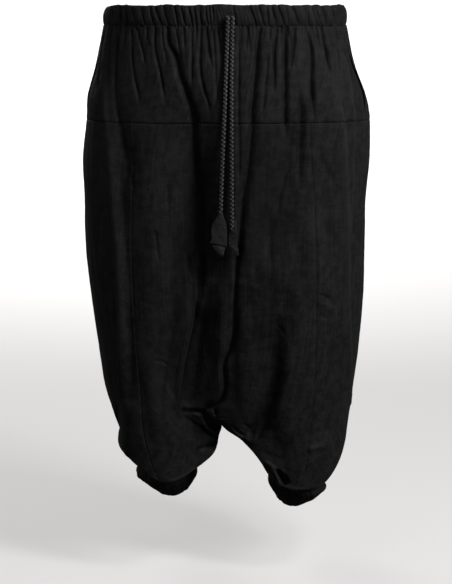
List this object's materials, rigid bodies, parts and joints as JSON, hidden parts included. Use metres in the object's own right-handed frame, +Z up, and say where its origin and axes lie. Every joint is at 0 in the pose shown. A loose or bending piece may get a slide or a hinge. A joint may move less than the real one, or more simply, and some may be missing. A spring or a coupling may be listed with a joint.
{
  "type": "harem pants",
  "caption": "Black low-crotch harem pants in worn form: ruffled drawstring waist, gathered yoke with side pocket openings, wide centre panel, side panels and gathered ankle cuffs.",
  "frame": {"origin": "middle of the waist casing, where the wearer's waist holds the garment up", "axes": "+Z up out of the waist, +X to the wearer's left, -Y to the front"},
  "size_m": [0.5158, 0.3607, 0.912],
  "materials": {
    "black_cloth": "soft plain weave with a faint sheen",
    "casing_cloth": "the same weave, doubled and gathered",
    "braid": "round braid, black with pale flecks",
    "tip_cloth": "folded scrap of cloth, dark grey"
  },
  "bodies": {
    "root": {"waistband_front": "casing_cloth", "waistband_back": "casing_cloth", "yoke_front": "black_cloth", "yoke_back": "black_cloth", "pocket_right": "black_cloth", "pocket_left": "black_cloth", "centre_front": "black_cloth", "centre_back": "black_cloth", "side_right": "black_cloth", "side_left": "black_cloth", "cuff_right": "black_cloth", "cuff_left": "black_cloth", "cord_right": "braid", "cord_left": "braid", "tip_right": "tip_cloth", "tip_left": "tip_cloth"}
  },
  "joints": []
}
